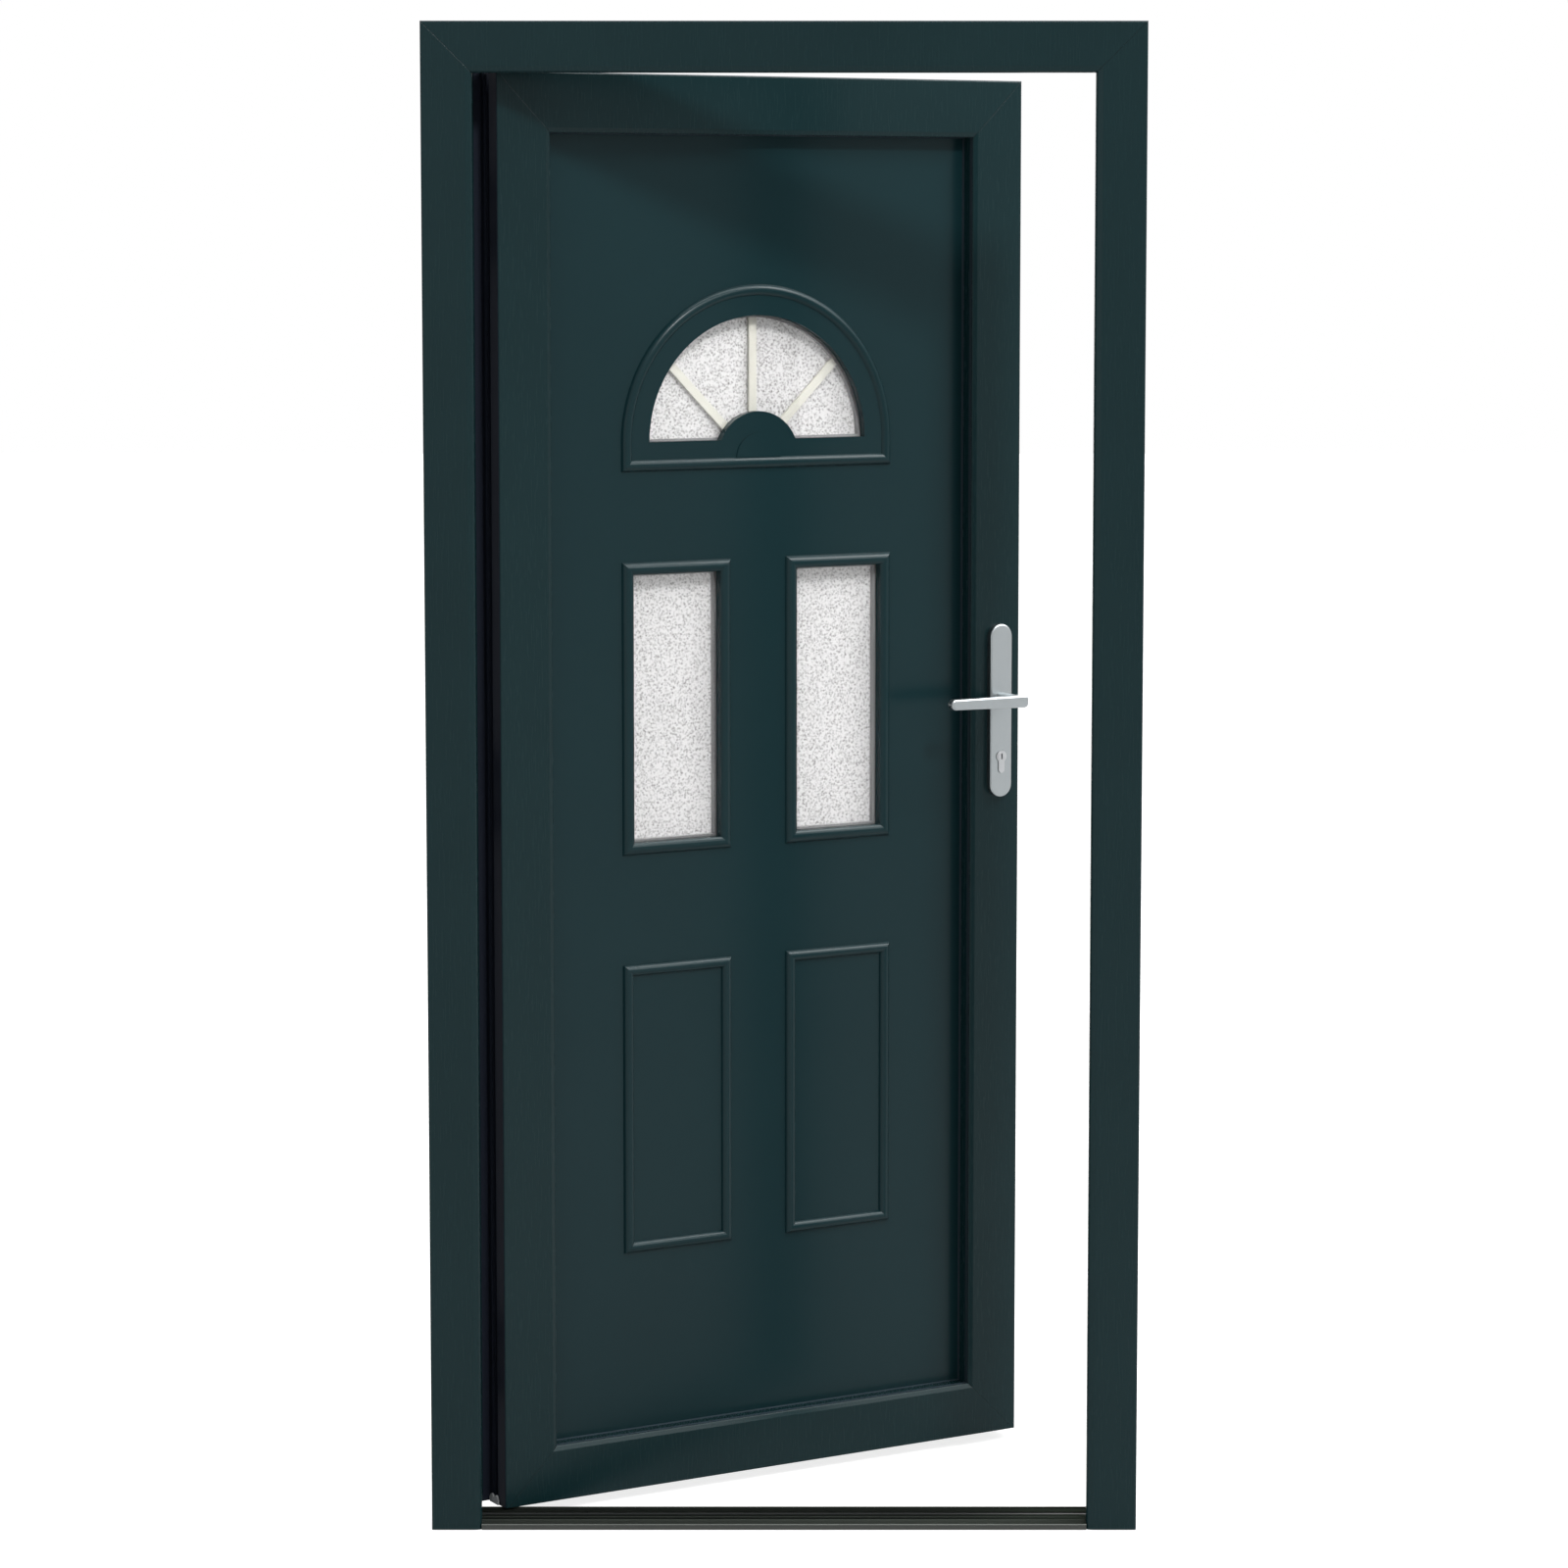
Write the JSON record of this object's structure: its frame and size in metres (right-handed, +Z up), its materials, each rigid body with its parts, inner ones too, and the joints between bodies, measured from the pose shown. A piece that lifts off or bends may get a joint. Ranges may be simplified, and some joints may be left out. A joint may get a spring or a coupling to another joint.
{
  "type": "panelled front door with frame",
  "caption": "Dark panelled entrance door in its own frame, hung ajar, with a half-round light, two tall windows, raised lower panels, lever handle and low threshold.",
  "frame": {"origin": "on the floor under the frame, at the middle of its width and of its depth", "axes": "+Z up; +X to the right as seen from outside, from the hinge side to the lock side; +Y into the house, the way the leaf opens"},
  "size_m": [0.98, 0.5791, 2.08],
  "materials": {
    "grey_seal": "light grey",
    "nickel": "satin nickel",
    "zinc_steel": "zinc plated",
    "glazing_bars": "cream white",
    "panel_skin": "smooth, semi-gloss, dark teal grey",
    "obscure_glass": "finely patterned, obscure",
    "glass": "clear",
    "gasket": "matt black",
    "profile": "smooth foil, semi-gloss, dark teal grey",
    "galvanised_steel": "rolled and galvanised",
    "spacer": "light grey",
    "handle_finish": "satin, light",
    "hinge_finish": "powder coated to match the profile",
    "foam_core": "rigid foam",
    "threshold_aluminium": "anodised, dark, satin",
    "black_plastic": "matt black"
  },
  "bodies": {
    "frame": {"jamb_hinge_side": "profile", "jamb_lock_side": "profile", "frame_head": "profile", "frame_steels": "galvanised_steel", "threshold_outer_rail": "threshold_aluminium", "threshold_thermal_break": "black_plastic", "threshold_inner_rail": "threshold_aluminium", "threshold_end_pads": "gasket", "frame_gasket": "gasket", "keep_centre": "zinc_steel", "keep_lower": "zinc_steel", "keep_upper": "zinc_steel", "hinge_pins": "zinc_steel", "frame_screws": "zinc_steel", "hinge_bottom_frame_part": "hinge_finish", "hinge_middle_frame_part": "hinge_finish", "hinge_top_frame_part": "hinge_finish"},
    "leaf": {"corner_seal_blocks": "grey_seal", "cylinder_body": "nickel", "fanlight_bars": "glazing_bars", "fanlight_frame_inner": "panel_skin", "fanlight_frame_outer": "panel_skin", "fanlight_inner_pane": "obscure_glass", "fanlight_outer_pane": "glass", "glass_spacers": "spacer", "glazing_beads": "profile", "handle_plate_inner": "handle_finish", "handle_plate_outer": "handle_finish", "handle_plate_screws": "zinc_steel", "hinge_bottom_leaf_part": "hinge_finish", "hinge_middle_leaf_part": "hinge_finish", "hinge_top_leaf_part": "hinge_finish", "hook_cases": "zinc_steel", "leaf_rail_bottom": "profile", "leaf_rail_top": "profile", "leaf_screws": "zinc_steel", "leaf_seals": "gasket", "leaf_steels": "galvanised_steel", "leaf_stile_hinge_side": "profile", "leaf_stile_lock_side": "profile", "lock_case": "zinc_steel", "lock_faceplate": "zinc_steel", "panel_core": "foam_core", "panel_gaskets": "gasket", "panel_inner_skin": "panel_skin", "panel_outer_skin": "panel_skin", "window_frames_inner": "panel_skin", "window_frames_outer": "panel_skin", "window_inner_panes": "obscure_glass", "window_outer_panes": "glass"},
    "levers": {"lever_outer": "handle_finish", "lever_inner": "handle_finish", "spindle": "zinc_steel"},
    "latch": {"latch_bolt": "nickel"},
    "deadbolt": {"deadbolt": "nickel"},
    "cylinder_core": {"cylinder_core": "nickel"},
    "drive_rods": {"drive_rods": "zinc_steel"},
    "hook_lower": {"hook_lower": "nickel"},
    "hook_upper": {"hook_upper": "nickel"}
  },
  "joints": [
    {"name": "leaf_swing", "type": "hinge", "parent": "frame", "child": "leaf", "pos_m": [-0.46, 0.068, 1.015], "axis": [0, 0, 1], "range_deg": [-30, 80]},
    {"name": "lever_turn", "type": "hinge", "parent": "leaf", "child": "levers", "pos_m": [0.29657, 0.45458, 1.116], "axis": [0.5, -0.866, 0], "range_deg": [0, 40], "stiffness_Nm_per_rad": 2, "springref_deg": -20.05},
    {"name": "latch_slide", "type": "slide", "parent": "leaf", "child": "latch", "axis": [-0.866, -0.5, 0], "range_m": [0, 0.012]},
    {"name": "rod_slide", "type": "slide", "parent": "leaf", "child": "drive_rods", "axis": [0, 0, 1], "range_m": [0, 0.018]},
    {"name": "key_turn", "type": "hinge", "parent": "leaf", "child": "cylinder_core", "pos_m": [0.29657, 0.45458, 1.031], "axis": [0.5, -0.866, 0], "range_deg": [0, 360]},
    {"name": "deadbolt_slide", "type": "slide", "parent": "leaf", "child": "deadbolt", "axis": [0.866, 0.5, 0], "range_m": [0, 0.018]},
    {"name": "lower_hook_turn", "type": "hinge", "parent": "leaf", "child": "hook_lower", "pos_m": [0.31669, 0.46273, 0.48], "axis": [0.5, -0.866, 0], "range_deg": [0, 90]},
    {"name": "upper_hook_turn", "type": "hinge", "parent": "leaf", "child": "hook_upper", "pos_m": [0.31669, 0.46273, 1.62], "axis": [0.5, -0.866, 0], "range_deg": [0, 90]}
  ],
  "couplings": [
    {"joint": "latch_slide", "follows": "lever_turn", "m_per_rad": 0.017189},
    {"joint": "key_turn", "follows": "rod_slide", "rad_per_m": 349.07},
    {"joint": "deadbolt_slide", "follows": "rod_slide", "ratio": 1},
    {"joint": "lower_hook_turn", "follows": "rod_slide", "rad_per_m": 87.266},
    {"joint": "upper_hook_turn", "follows": "rod_slide", "rad_per_m": 87.266}
  ]
}
